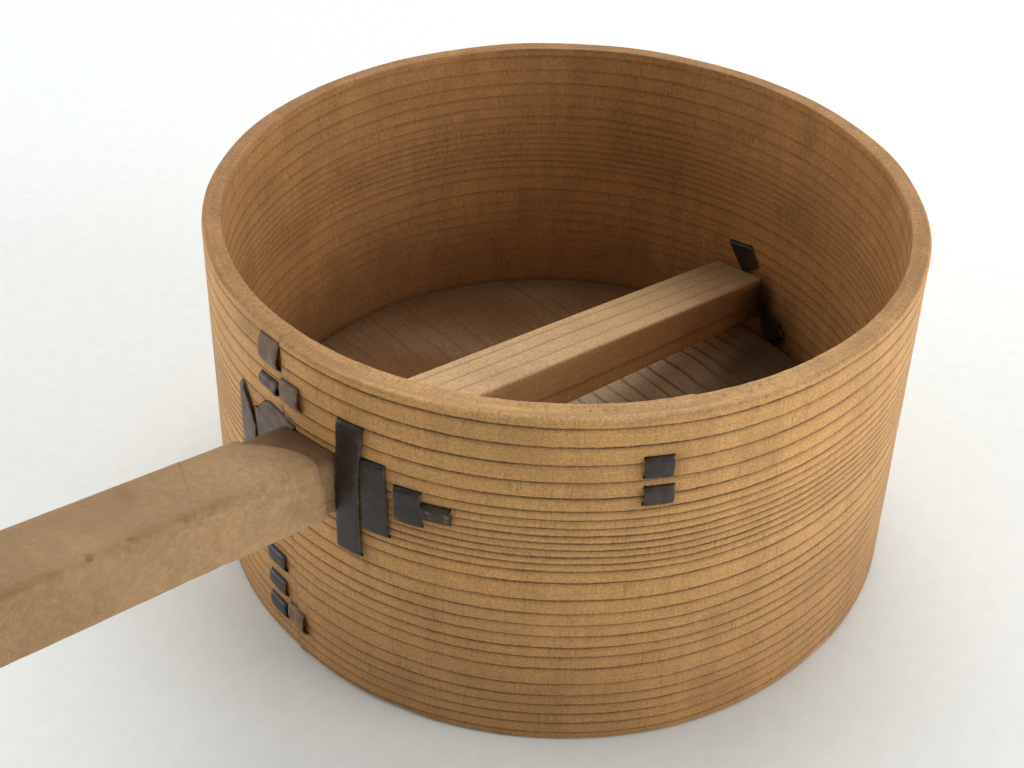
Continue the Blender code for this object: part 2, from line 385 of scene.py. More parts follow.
def wood_look(name, early, late, worn, line, halo, fibres, rays=0.0, dark=1.0, kept=0.0):
    """Softwood: pale early wood with each ring's thin dark line, and the fine figure over both.

    Colours are early wood, late wood and worn or stained wood, the last also used for painted shade. line
    is the dark line's width in millimetres, halo how dark the wood before it is, and dark the strength of
    both. fibres and rays are the strengths of the figure along and across the grain. kept is how far the
    dark lines stay clear of staining and painted shade.
    """
    look = Look(name)
    grain = look.attribute("grain", "Vector")
    width = look.attribute("ring_width")
    wobble = look.math("SUBTRACT", look.noise(grain, (420, 900, 420)), 0.5)
    part = look.math("FRACT", look.plus(look.attribute("ring"), look.times(wobble, 0.10)))
    before = look.times(look.rest(part), width)
    after = look.times(part, width)
    vary = look.noise(grain, (22, 420, 60))
    broken = look.noise(grain, (900, 200, 300))
    crisp = look.attribute("crisp")
    soft = look.math("SUBTRACT", 2.6, look.times(crisp, 1.6))
    reach = look.times(look.remap(vary, 0.25, 0.75, 0.75, 1.4), line, soft)
    core = look.math("MAXIMUM", look.remap(before, reach, 0.05), look.remap(after, 0.16, 0.03))
    shade = look.remap(before, 1.5, 0.1, 0.0, halo)
    faint = look.times(look.remap(vary, 0.3, 0.6, 0.72, 1.0), look.remap(broken, 0.3, 0.55, 0.8, 1.0))
    amount = look.times(look.math("MAXIMUM", core, shade), faint, crisp)
    amount = look.math("MULTIPLY", amount, dark, clamp=True)
    colour = look.mix(amount, early, late)

    fibre = look.noise(grain, (70, 2400, 500), detail=4, rough=0.65)
    ray = look.noise(grain, (2300, 240, 500), rough=0.6)
    speck = look.noise(grain, (1700, 1700, 1700), rough=0.7)
    mottle = look.noise(grain, (210, 30, 60))
    patch = look.noise(grain, (16, 24, 16))
    tint = look.remap(fibre, 0.25, 0.75, 1 - fibres, 1 + fibres)
    for figure, strength in ((speck, 0.20), (mottle, 0.03 + rays * 0.12), (patch, 0.06)):
        tint = look.times(tint, look.remap(figure, 0.28, 0.72, 1 - strength, 1 + strength))
    here = look.noise(grain, (75, 110, 60), offset=(3, 5, 7))
    ticks = look.times(look.remap(ray, 0.50, 0.72), look.remap(here, 0.38, 0.62, 0.25, 1.0))
    tint = look.times(tint, look.rest(look.times(ticks, rays)))
    grey = look.node("ShaderNodeCombineColor")
    for socket in grey.inputs:
        look.wire(tint, socket)
    warm = look.remap(patch, 0.35, 0.7, 0.0, 0.12)
    colour = look.mix(warm, colour, tuple(c * k for c, k in zip(early, (1.02, 0.86, 0.66))))
    colour = look.mix(look.attribute("greyed"), colour, GREYED)
    clear = look.rest(look.times(amount, kept))
    # The worn colour over stains and over painted shade; less of it where light is painted.
    colour = look.mix(look.times(look.attribute("stain_and_shade"), clear), colour, worn)
    colour = look.mix(1.0, colour, grey.outputs[0], "MULTIPLY")
    # Near black over soot and over painted shadow.
    colour = look.mix(look.attribute("soot_and_shade"), colour, SOOT_AND_SHADE)
    height = look.times(core, 0.25)
    for figure, strength in ((fibre, 0.35), (ray, rays * 2), (speck, 0.45)):
        height = look.plus(height, look.times(figure, strength))
    rough = look.remap(amount, 0.0, 1.0, 0.60, 0.50)
    rough = look.math("ADD", rough, look.times(look.attribute("greyed"), 0.4), clamp=True)
    return look, colour, rough, look.bump(height, WOOD_RELIEF, 0.8)


def band_look():
    look, colour, rough, normal = wood_look(
        "cedar_band", (0.635, 0.350, 0.130), (0.105, 0.043, 0.010), (0.285, 0.139, 0.054),
        line=0.64, halo=0.45, fibres=0.08, rays=0.32, kept=0.6,
    )
    return look.finish(colour, rough, normal, Specular_IOR_Level=0.22)


def board_look():
    look, colour, rough, normal = wood_look(
        "cedar_board", (0.70, 0.585, 0.43), (0.15, 0.095, 0.052), (0.245, 0.124, 0.046),
        line=1.0, halo=0.3, fibres=0.10,
    )
    return look.finish(colour, look.plus(rough, 0.2), normal, Specular_IOR_Level=0.12)


def bar_look():
    look, colour, rough, normal = wood_look(
        "handle_wood", (0.545, 0.350, 0.172), (0.27, 0.145, 0.062), (0.19, 0.105, 0.050),
        line=0.5, halo=0.15, fibres=0.05, dark=0.75,
    )
    return look.finish(colour, rough, normal, Specular_IOR_Level=0.3)


def paper_look():
    """Brown paper handled for years: blotched, fuzzy, darker along its creases."""
    look = Look("kraft_paper")
    place = look.attribute("grain", "Vector")
    cloud = look.noise(place, (60, 60, 60), detail=4, rough=0.6)
    fluff = look.noise(place, (700, 700, 700), detail=4, rough=0.75)
    fibres = look.noise(place, (520, 800, 800), detail=5, rough=0.75, distortion=1.0)
    specks = look.noise(place, (2600, 2600, 2600), detail=1)
    colour = look.mix(look.remap(cloud, 0.30, 0.70), (0.362, 0.219, 0.103), (0.475, 0.291, 0.140))
    colour = look.mix(look.remap(fluff, 0.42, 0.66, 0.0, 0.55), colour, (0.57, 0.375, 0.190))
    colour = look.mix(look.remap(fibres, 0.52, 0.68, 0.0, 0.50), colour, (0.23, 0.132, 0.058))
    colour = look.mix(look.attribute("soil"), colour, (0.215, 0.126, 0.054))
    colour = look.mix(look.remap(specks, 0.70, 0.78, 0.0, 0.5), colour, (0.62, 0.46, 0.27))
    seam = look.math("ABSOLUTE", look.attribute("seam"))
    line = look.times(look.remap(seam, 0.42, 0.05), look.remap(cloud, 0.3, 0.6, 0.15, 0.6))
    creased = look.math("MAXIMUM", look.attribute("crease"), line)
    colour = look.mix(creased, colour, (0.115, 0.064, 0.031))
    height = look.plus(look.times(fluff, 0.7), look.times(fibres, 0.5), look.times(cloud, 1.5))
    normal = look.bump(look.math("SUBTRACT", height, line), PAPER_RELIEF, 0.85)
    sheen = {"Sheen_Weight": 0.15, "Sheen_Roughness": 0.6}
    return look.finish(colour, 0.92, normal, Specular_IOR_Level=0.12, **sheen)


def bark_look():
    """Cherry bark: near black with a satin gloss, browner where it is rubbed, short marks across it."""
    look = Look("cherry_bark")
    place = look.attribute("grain", "Vector")
    cloud = look.noise(place, (240, 240, 240), detail=4, rough=0.6)
    streak = look.noise(place, (2200, 260, 600), rough=0.6)
    marks = look.noise(place, (330, 2300, 400), detail=2)
    brown = look.plus(look.attribute("tone"), look.remap(cloud, 0.35, 0.75, -0.15, 0.22))
    share = look.math("MULTIPLY", brown, 1.0, clamp=True)
    colour = look.mix(share, (0.022, 0.0155, 0.0125), (0.175, 0.094, 0.052))
    colour = look.mix(look.remap(streak, 0.5, 0.8, 0.0, 0.22), colour, (0.10, 0.085, 0.075))
    colour = look.mix(look.remap(marks, 0.62, 0.74, 0.0, 0.30), colour, (0.17, 0.125, 0.095))
    colour = look.mix(look.attribute("rubbed"), colour, (0.33, 0.22, 0.14))
    rough = look.remap(cloud, 0.3, 0.7, 0.32, 0.48)
    rough = look.math("ADD", rough, look.times(brown, 0.15), clamp=True)
    height = look.plus(streak, look.times(marks, 0.6))
    return look.finish(colour, rough, look.bump(height, BARK_RELIEF, 0.7), Specular_IOR_Level=0.42)


# ---- bark strips


def outer_runs(node):
    """The stretches of a CAD strip that show outside the wall: its azimuth, width and (top, bottom)s."""
    degrees, radius, z = around_axis(points_of(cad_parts[node]))
    middle = (degrees.min() + degrees.max()) / 2
    width = math.radians(degrees.max() - degrees.min()) * RIM_RADIUS
    # The CAD's wall is round, so the oval is taken off the wall here.
    proud = radius - outer_radius(degrees, z) / oval(degrees) > BARK_GAP + BARK * 0.8
    heights = sorted(set(np.round(z[proud], 5)), reverse=True)
    ends = [heights[0]]
    for before, after in zip(heights, heights[1:]):
        if before - after > 0.3 * MM:
            ends.append(after)
    return middle, width, list(zip(ends[0::2], ends[1::2]))


def round_corners(path, radius, steps=4):
    """A polyline with each inner corner turned into a short curve."""
    path = [np.array(p, float) for p in path]
    out = [path[0]]
    for before, corner, after in zip(path, path[1:], path[2:]):
        to_before, to_after = before - corner, after - corner
        back, ahead = np.linalg.norm(to_before), np.linalg.norm(to_after)
        start = corner + to_before / back * min(radius, back * 0.45)
        end = corner + to_after / ahead * min(radius, ahead * 0.45)
        for t in np.linspace(0, 1, steps + 1):
            out.append((1 - t) ** 2 * start + 2 * t * (1 - t) * corner + t * t * end)
    out.append(path[-1])
    return np.array(out)


def resample(path, step):
    """Points evenly along a polyline, keeping its shape."""
    lengths = np.r_[0, np.cumsum(np.linalg.norm(np.diff(path, axis=0), axis=1))]
    count = max(2, int(math.ceil(lengths[-1] / step)) + 1)
    at = np.linspace(0, lengths[-1], count)
    return columns(*[np.interp(at, lengths, values) for values in path.T]), at


# Places across a strip, from its left edge at -1 to its right edge at 1.
ACROSS = np.sin(np.linspace(-1, 1, 13) * math.pi / 2)
# How far its edges wander and its face buckles.
EDGE_WANDER = 0.07 * MM
BUCKLE = 0.05 * MM
# Its slits are this much wider than it at each side, and this far across from their middle.
SLIT_SIDE = 0.15 * MM
SLIT_HALF = 0.42 * MM
# Its cutter has this many rows and starts this far outside the wall.
SLIT_ROWS = 9
SLIT_CLEAR = 1.5 * MM


class Strip:
    """One strip of bark: where it lies on the wall, and how its edges run.

    runs are its (top, bottom) heights outside the wall. style may hold, in millimetres:
    - edges, for each run the (share of the way down, left, right) its edges are moved by;
    - ends, how far each run's (top, bottom) is raised;
    - arch, the (place across, fall) of its top end, and reach, how far down that is felt;
    - crown, how far it bows out between its slits, and lean, how far its right edge lifts.
    tone is how brown it is, as a whole or for its upper and lower runs, and rubbed how worn.
    torn is a list of worn spots, each (share of the way down, place across, size, strength).
    """

    def __init__(self, name, azimuth, slant, width, runs, style):
        self.name, self.azimuth, self.width, self.style = name, azimuth, width, style
        self.lean = math.radians(slant)
        raised = style.get("ends", ((0, 0),) * len(runs))
        runs = [(top + a * MM, bottom + b * MM) for (top, bottom), (a, b) in zip(runs, raised)]
        self.height = (runs[0][0] + runs[-1][1]) / 2
        self.runs = [tuple((z - self.height) / math.cos(self.lean) for z in run) for run in runs]
        straight = ((0, 0, 0), (1, 0, 0))
        knots = []
        for (top, bottom), edges in zip(self.runs, style.get("edges", (straight,) * len(runs))):
            knots += [(top + (bottom - top) * share, left * MM, right * MM) for share, left, right in edges]
        self.knots = np.array(sorted(knots))

    def edges(self, along):
        """The strip's left and right edges at places along it."""
        left = np.interp(along, self.knots[:, 0], self.knots[:, 1]) - self.width / 2
        right = np.interp(along, self.knots[:, 0], self.knots[:, 2]) + self.width / 2
        return left, right

    def place(self, along, sideways, out):
        """World points from places along and across the strip and out from the wall's face."""
        places, falls = zip(*self.style.get("arch", ((0, 0),)))
        fall = np.interp(2 * sideways / self.width, places, falls) * MM
        top = self.runs[0][0]
        along = along - fall * smooth(along, top - self.style.get("reach", 4) * MM, top - 1 * MM)
        dx = along * math.sin(self.lean) + sideways * math.cos(self.lean)
        z = self.height + along * math.cos(self.lean) - sideways * math.sin(self.lean)
        degrees = self.azimuth + np.degrees(dx / RIM_RADIUS)
        wall, inner = outer_radius(degrees, z), inner_radius(degrees, z)
        return polar(np.where(out >= -WALL / 2, wall + out, inner + out + WALL), degrees, z)

    def path(self, inward, tails):
        """The strip's middle as (along, out): in and out of its slits, with tails hidden inside."""
        points = []
        if tails:
            points.append((self.runs[0][0] + tails[0], inward))
        for top, bottom in self.runs:
            points += [(top - BARK / 2, inward), (top - BARK / 2, LIFT)]
            points += [(bottom + BARK / 2, LIFT), (bottom + BARK / 2, inward)]
        if tails:
            points.append((self.runs[-1][1] + tails[1], inward))
        return points

    def mesh(self, path):
        style = self.style
        path, travelled = resample(round_corners(path, 0.75 * MM), 0.4 * MM)
        along, out = path[:, 0], path[:, 1].copy()
        seed = sum(ord(letter) for letter in self.name)
        share, bow = np.zeros((2, len(along)))
        for top, bottom in self.runs:
            here = (out > 0) & (along <= top + 0.1 * MM) & (along >= bottom - 0.1 * MM)
            t = np.clip((top - along) / (top - bottom), 0, 1)
            share = np.where(here, t, share)
            bow = np.where(here, np.sin(math.pi * t), bow)
        out = out + style.get("crown", 0.12) * MM * bow
        tangent = np.gradient(columns(along, out), axis=0)
        tangent /= np.linalg.norm(tangent, axis=1)[:, None] + 1e-12
        normal = columns(tangent[:, 1], -tangent[:, 0])
        left, right = self.edges(along)
        left = left + EDGE_WANDER * waves(seed, travelled / MM, 2.6) * bow
        right = right + EDGE_WANDER * waves(seed + 1, travelled / MM, 2.6) * bow
        sideways = (left + right)[:, None] / 2 + ACROSS[None, :] * (right - left)[:, None] / 2
        spots = columns(np.repeat(travelled, len(ACROSS)), sideways.reshape(-1)) / MM
        buckle = waves(seed + 5, spots, 3.5).reshape(sideways.shape) * BUCKLE * bow[:, None]
        lift = style.get("lean", 0.0) * MM * smooth(ACROSS, -0.1, 1.0)[None, :]
        lift = lift * (bow * smooth(share, 0.1, 0.7))[:, None]
        thick = BARK / 2 * (1 - 0.5 * np.abs(ACROSS) ** 8)[None, :]
        sides = []
        for sign in (1, -1):
            a = along[:, None] + sign * thick * normal[:, :1]
            o = out[:, None] + sign * thick * normal[:, 1:] + lift + buckle
            sides.append(self.place(a, sideways, o))
        ring = np.concatenate([sides[0], sides[1][:, ::-1]], axis=1)
        rows, around = ring.shape[:2]
        obj = mesh_object(self.name, ring.reshape(-1, 3), tube_faces(rows, around), sharp=60)
        flat_u = np.concatenate([sideways, sideways[:, ::-1]], axis=1).reshape(-1)
        flat_s = np.repeat(travelled, around)
        edge = np.tile(np.abs(np.r_[ACROSS, ACROSS[::-1]]), rows)
        patch = smooth(waves(seed + 9, columns(flat_u, flat_s) / MM, 2.5), -0.5, 0.9)
        rubbed = (style.get("rubbed", 0.0) + 0.30 * smooth(edge, 0.90, 1.0)) * patch
        for at, side, size, amount in style.get("torn", ()):
            spot = np.hypot((np.repeat(share, around) - at) * 2.2, flat_u * 2 / self.width - side)
            rubbed = np.maximum(rubbed, amount * smooth(spot, size, size * 0.4) * (0.45 + 0.55 * patch))
        own_place = (seed % 97) * 0.01
        put_attribute(obj, "grain", columns(flat_u, flat_s, own_place), "FLOAT_VECTOR")
        tones = np.ravel(style.get("tone", 0.0))
        lower = np.repeat(along, around) < (self.runs[0][1] + self.runs[-1][0]) / 2
        put_attribute(obj, "tone", np.where(lower, tones[-1], tones[0]))
        put_attribute(obj, "rubbed", np.clip(rubbed, 0, 0.9))
        return obj

    def cutters(self, deepest):
        """A closed mesh for each slit, from just outside the wall in to deepest."""
        made = []
        ends = [end + shift for run in self.runs for end, shift in zip(run, (-BARK / 2, BARK / 2))]
        for end in ends:
            left, right = self.edges(end)
            sideways = np.linspace(left - SLIT_SIDE, right + SLIT_SIDE, SLIT_ROWS)[:, None]
            along = end + np.array([-1, 1, 1, -1]) * SLIT_HALF
            out = np.array([SLIT_CLEAR, SLIT_CLEAR, deepest, deepest])
            points = self.place(*np.broadcast_arrays(along, sideways, out)).reshape(-1, 3)
            made.append(mesh_object("slit", points, tube_faces(SLIT_ROWS, 4)))
        return made


# Places in from the wall's outer face: the depths of slits, a strip inside and one tucked in.
THROUGH_DEPTH = -(WALL + 1.5 * MM)
BLIND_DEPTH = -2.7 * MM
INSIDE = -(WALL + LIFT)
TUCK = -2.4 * MM
TAIL = 1.6 * MM
# How far below the rim a strip's hidden tail stops.
RIM_CLEAR = 1.6 * MM

STRIP_STYLES = {
    "bark_lap_upper": {
        "tone": (0.85, 0.12), "crown": 0.35, "lean": 0.55, "rubbed": 0.2,
        "edges": (((0, -0.9, 0.4), (1, -1.7, 0.2)), ((0, -2.0, -0.9), (1, -1.8, -0.5))),
        "ends": ((0, 0.6), (-1.1, 0)),
    },
    "bark_lap_lower": {
        "crown": 0.15,
        "edges": (((0, -2.0, -0.6), (1, -1.7, -0.2)), ((0, -2.0, -0.9), (1, -1.8, -0.6))),
        "ends": ((-1.0, -0.9), (-0.4, -0.5)),
    },
    "bark_lap_foot": {
        "crown": 0.2,
        "edges": (((0, -2.0, -1.0), (1, -1.8, -0.7)),),
        "ends": ((-0.1, -0.2),),
    },
    "bark_lap_edge_upper": {
        "tone": 0.9, "crown": 0.25, "rubbed": 0.35, "lean": 0.2,
        "edges": (((0, -0.8, -0.1), (1, -0.9, 0.4)),),
        "ends": ((0, -0.7),),
    },
    "bark_lap_edge_lower": {
        "tone": 0.85, "crown": 0.35, "lean": 0.5, "rubbed": 0.25,
        "edges": (((0, -0.6, 0.0), (1, -0.6, 0.8)),),
        "ends": ((-0.5, -0.6),),
    },
    "bark_inner_end": {
        "tone": 0.10, "crown": 0.12, "rubbed": 0.06, "torn": ((0.6, -0.75, 0.55, 0.0),),
        "edges": (((0, -0.7, -0.6), (1, -0.7, -0.5)), ((0, -0.4, -0.1), (1, -0.5, -0.2))),
        "ends": ((0, 0), (-0.3, 0.3)),
    },
    "bark_right_1": {
        "crown": 0.35,
        "edges": (((0, -0.3, 0.3), (0.35, -0.6, -0.8), (0.6, -1.1, -0.9), (1, -1.4, -1.1)),),
    },
    "bark_right_2": {
        "crown": 0.22,
        "edges": (((0, -0.8, -0.6), (0.5, -0.6, 0.0), (1, -0.6, 0.1)),),
        "ends": ((0.2, -0.5),),
    },
    "bark_right_3": {
        "crown": 0.15, "tone": 0.04, "torn": ((0.9, -0.7, 0.35, 0.5),),
        "edges": (((0, 0.3, 0.8), (1, 0.5, 1.1)),),
    },
    "bark_right_4": {
        "crown": 0.1, "tone": 0.05, "rubbed": 0.03,
        "torn": (
            (0.36, -0.42, 0.17, 1.2), (0.50, -0.36, 0.13, 1.1), (0.64, -0.32, 0.17, 1.2),
            (0.37, 0.95, 0.25, 1.2), (0.64, 0.97, 0.2, 1.0),
        ),
        "edges": (((0, 0.1, 0.4), (0.5, -0.1, 0.9), (1, -0.3, 0.4)),),
        "ends": ((-0.2, 0.1),),
    },
    "bark_left_1": {
        "tone": 0.40, "crown": 0.1, "rubbed": 0.2, "torn": ((0.1, 0.8, 0.4, 0.3),),
        "arch": ((-1.1, 4.8), (-0.7, 2.6), (-0.25, 0.4), (0.1, 0), (1.0, 0.6), (2.0, 1.2)),
        "ends": ((-0.2, 0),),
        "edges": (((0, -0.3, 4.3), (0.05, -0.3, 4.0), (0.10, -0.3, 0.6), (1, 0, 0)),),
    },
    "bark_left_2": {
        "tone": 0.4, "crown": 0.2, "rubbed": 0.15, "lean": 0.5,
        "edges": (((0, 0, -4.3), (0.42, 0, 1.0), (1, 0, 1.0)),),
    },
}
# Their slits don't come out inside the cup.
BLIND = ("bark_lap_foot", "bark_lap_edge_lower")

FAR_STRIP = "bark_far_end"
FAR_AZIMUTH, FAR_SLANT, FAR_WIDTH = -7.3, 36.0, 6.7 * MM
FAR_RUN = (36.9 * MM, 13.0 * MM)
FAR_TAILS = (-8.2 * MM, 7.0 * MM)
# Its upper slit runs with the rings, so the strip's end is cut aslant.
FAR_STYLE = {"arch": ((-1, 1.9), (1, -1.9)), "reach": 8}


def make_strips(look):
    """Every strip, with the cutters of its slits and the places that it stains."""
    cutters, stains = [], []
    for node, style in STRIP_STYLES.items():
        azimuth, width, runs = outer_runs(node)
        strip = Strip(node + "_strip", azimuth, 0.0, width, runs, style)
        blind = node in BLIND
        top_tail = min(TAIL, CUP_HEIGHT - RIM_CLEAR - runs[0][0])
        path = strip.path(TUCK, None) if blind else strip.path(INSIDE, (top_tail, -TAIL))
        cutters += strip.cutters(BLIND_DEPTH if blind else THROUGH_DEPTH)
        stains += [(azimuth, (top + bottom) / 2, width, top - bottom) for top, bottom in runs]
        finish(strip.mesh(path), node, look)
    far = Strip(FAR_STRIP + "_strip", FAR_AZIMUTH, FAR_SLANT, FAR_WIDTH, [FAR_RUN], FAR_STYLE)
    corners = far.path(INSIDE, FAR_TAILS)
    path = [corners[0]]
    for before, after in zip(corners, corners[1:]):
        steps = max(1, int(abs(after[0] - before[0]) / (3 * MM)))
        path += list(np.linspace(before, after, steps + 1)[1:])
    cutters += far.cutters(THROUGH_DEPTH)
    finish(far.mesh(path), FAR_STRIP, look)
    return cutters, stains


# ---- the cup's wall

WALL_COLUMNS = 320
OUTSIDE_ROWS, INSIDE_ROWS = 150, 112
RIM_ROUND = 1.0 * MM
RIM_INNER_ROUND = 0.3 * MM
FOOT_ROUND = 0.6 * MM
# A nick in the rim's inner edge, and a chip along the foot under the overlap's outer end.
NICK = 281.0
CHIP = 0.9 * MM
CHIP_START, CHIP_END = 177.2, 199.5

# How the rings rise and fall along the band: millimetres, radians in its length, radians at its start.
DRIFT = ((0.8, 7.1, 0.4), (0.5, 13.0, 2.0))
BAND_LENGTH = 0.52
# Ring widths in millimetres against shares of the cup's height.
RING_WIDTHS = (
    (-0.15, 2.6), (0.05, 2.5), (0.18, 3.2), (0.26, 4.6), (0.33, 2.7), (0.47, 3.2),
    (0.54, 4.6), (0.59, 1.9), (0.71, 1.8), (0.78, 2.9), (0.86, 4.1), (1.15, 3.7),
)


def wall_ring_width(z):
    shares, widths = zip(*RING_WIDTHS)
    return float(np.interp(z / CUP_HEIGHT, shares, widths)) * MM


WALL_EDGES = ring_edges(7, CUP_HEIGHT + 2.2 * MM, -12 * MM, wall_ring_width, 0.09)


def band_place(points):
    """Where points of the wall lie in the flat band: (along it, across it, off its outer face)."""
    degrees, radius, z = around_axis(points)
    depth = outer_radius(degrees, z) - radius
    from_outer_end = (degrees - OUTER_END) % 360
    from_inner_end = (degrees - INNER_END) % 360 + INNER_END - OUTER_END
    along = np.radians(np.where(depth > WALL / 2, from_inner_end, from_outer_end)) * RIM_RADIUS
    drift = sum(rise * MM * np.sin(along / BAND_LENGTH * turns + start) for rise, turns, start in DRIFT)
    place = columns(along * 9, z * 30)
    ripple = 0.16 * MM * waves(21, place, 0.45) + 0.06 * MM * waves(22, place * 6, 0.45)
    # Near the rim the rings run level with it.
    level = 1 - 0.9 * smooth(z, CUP_HEIGHT - 20 * MM, CUP_HEIGHT)
    return along, z + (drift + ripple) * level + 0.10 * depth, depth


def line_height(across):
    """How much of a ring's dark line is at each place, from 0 to 1, for the raised rings."""
    count, width = ring_at(WALL_EDGES, across)
    away = np.minimum(1 - count % 1, count % 1) * width
    return 1 - smooth(away, 0.1 * MM, 0.8 * MM)


def wall_columns():
    """The azimuths of the wall's sections, with a close pair at each end of the band."""
    found = list(np.linspace(0, 360, WALL_COLUMNS, endpoint=False))
    for edge in (OUTER_END, INNER_END):
        found = [d for d in found if abs(d - edge) > STEP_DEGREES * 2] + [edge, edge + STEP_DEGREES]
    return np.array(sorted(found))


def round_off(r, z, dr, dz, steps, level_first=True):
    """Points round a section's corner at (r, z), cut back by dr and dz: a quarter turn, less its end."""
    turn = np.linspace(0, math.pi / 2, steps, endpoint=False)
    back, down = 1 - np.sin(turn), 1 - np.cos(turn)
    if not level_first:
        back, down = down, back
    return list(zip(r + dr * back, z + dz * down))


def wall_section(degrees):
    """The wall's closed outline at one azimuth, as (radius, height) pairs, worn at its edges."""
    turn = math.radians(degrees)
    outer_round = RIM_ROUND * (1 + 0.22 * math.sin(turn * 5 + 1) + 0.15 * math.sin(turn * 13))
    ragged = 0.10 * math.sin(turn * 61 + 2 * math.sin(turn * 9)) + 0.08 * math.sin(turn * 113 + 1)
    inner_round = 1 + 0.3 * math.sin(turn * 7) + 2 * ragged + 2.2 * near(degrees, NICK, 0.7)
    inner_round = RIM_INNER_ROUND * float(inner_round)
    sag = 0.12 * MM * math.sin(turn * 3 + 0.5) + 0.04 * MM * math.sin(turn * 17)
    top = CUP_HEIGHT - 0.17 * MM + sag
    chipped = smooth(degrees, CHIP_START - 0.7, CHIP_START + 0.8)
    chipped = chipped * (1 - smooth(degrees, CHIP_END - 1.0, CHIP_END + 1.0))
    foot = FOOT_ROUND + CHIP * float(chipped)
    low = float(outer_radius(degrees, 0))
    outer_top, inner_top = float(outer_radius(degrees, top)), float(inner_radius(degrees, top))
    points = round_off(low, 0, -0.8 * foot, foot, 4)
    outside = np.linspace(foot, top - outer_round, OUTSIDE_ROWS)
    points += zip(outer_radius(degrees, outside), outside)
    points += round_off(outer_top, top, -outer_round, -outer_round, 7, level_first=False)[1:]
    points += [(r, top) for r in np.linspace(outer_top - outer_round, inner_top + inner_round, 7)]
    points += round_off(inner_top, top, inner_round, -inner_round, 5)[1:]
    inside = np.linspace(top - inner_round, 0.0, INSIDE_ROWS)
    points += zip(inner_radius(degrees, inside), inside)
    return points + [(r, 0.0) for r in np.linspace(points[-1][0], points[0][0], 5)[1:-1]]


def make_wall(look, cutters, stains):
    """The bent band with its slits and mortise, its rings running round the cup."""
    azimuths = wall_columns()
    section = np.array([wall_section(d) for d in azimuths])
    count, around = section.shape[:2]
    points = polar(section[:, :, 0], azimuths[:, None], section[:, :, 1]).reshape(-1, 3)
    faces = grid_faces(count, around, wrap_rows=True, wrap_columns=True)
    wall = mesh_object("cup_wall_band", relief(points), faces)
    cut(wall, cutters + [mortise_cutter()])
    wall.data.shade_smooth()
    wall.data.set_sharp_from_angle(angle=math.radians(38))
    points = points_of(wall)
    degrees, _, z = around_axis(points)
    along, across, depth = band_place(points)
    stain_and_shade, soot_and_shade = wall_stain_and_shade(points, stains)
    rim = smooth(z, CUP_HEIGHT - 1.0 * MM, CUP_HEIGHT - 0.15 * MM)
    crisp = (1 - 0.42 * smooth(depth, WALL * 0.4, WALL * 0.6)) * (1 - 0.8 * rim)
    greyed = rim * (0.62 + 0.28 * waves(45, columns(along * 30, depth / MM), 1.0))
    # The rim is palest where hands hold the cup by the handle, and darkest at the far left.
    darker = 1 - 0.85 * smooth(degrees, 178, 200) * (1 - smooth(degrees, 250, 285))
    darker = darker + 0.35 * near(degrees, 75, 50)
    stain_and_shade = np.maximum(stain_and_shade * (1 - 0.6 * rim), rim * 0.6 * darker)
    put_rings(wall, WALL_EDGES, across, along, depth, crisp, stain_and_shade, soot_and_shade, greyed)
    return finish(wall, "cup_wall", look)


def relief(points):
    """The rings stand a little proud, because the soft early wood wears away between them."""
    along, across, depth = band_place(points)
    degrees, radius, z = around_axis(points)
    outward = np.where(depth > WALL / 2, -1.0, 1.0)
    on_face = smooth(np.minimum(depth, np.abs(WALL - depth)), 0.25 * MM, 0.02 * MM)
    broad = waves(33, columns(along * 20, z * 30), 0.9)
    push = 0.025 * MM * (line_height(across) - 1) + 0.05 * MM * broad
    flat = smooth(z, 1.0 * MM, 3.0 * MM) * smooth(CUP_HEIGHT - z, 1.0 * MM, 2.5 * MM)
    return polar(radius + outward * push * flat * on_face, degrees, z)


def spot(u, v, reach_u, reach_v):
    """1 over most of an oval round where u and v are 0, and nothing outside it."""
    return np.exp(-(((u / reach_u) ** 2 + (v / reach_v) ** 2) ** 2))


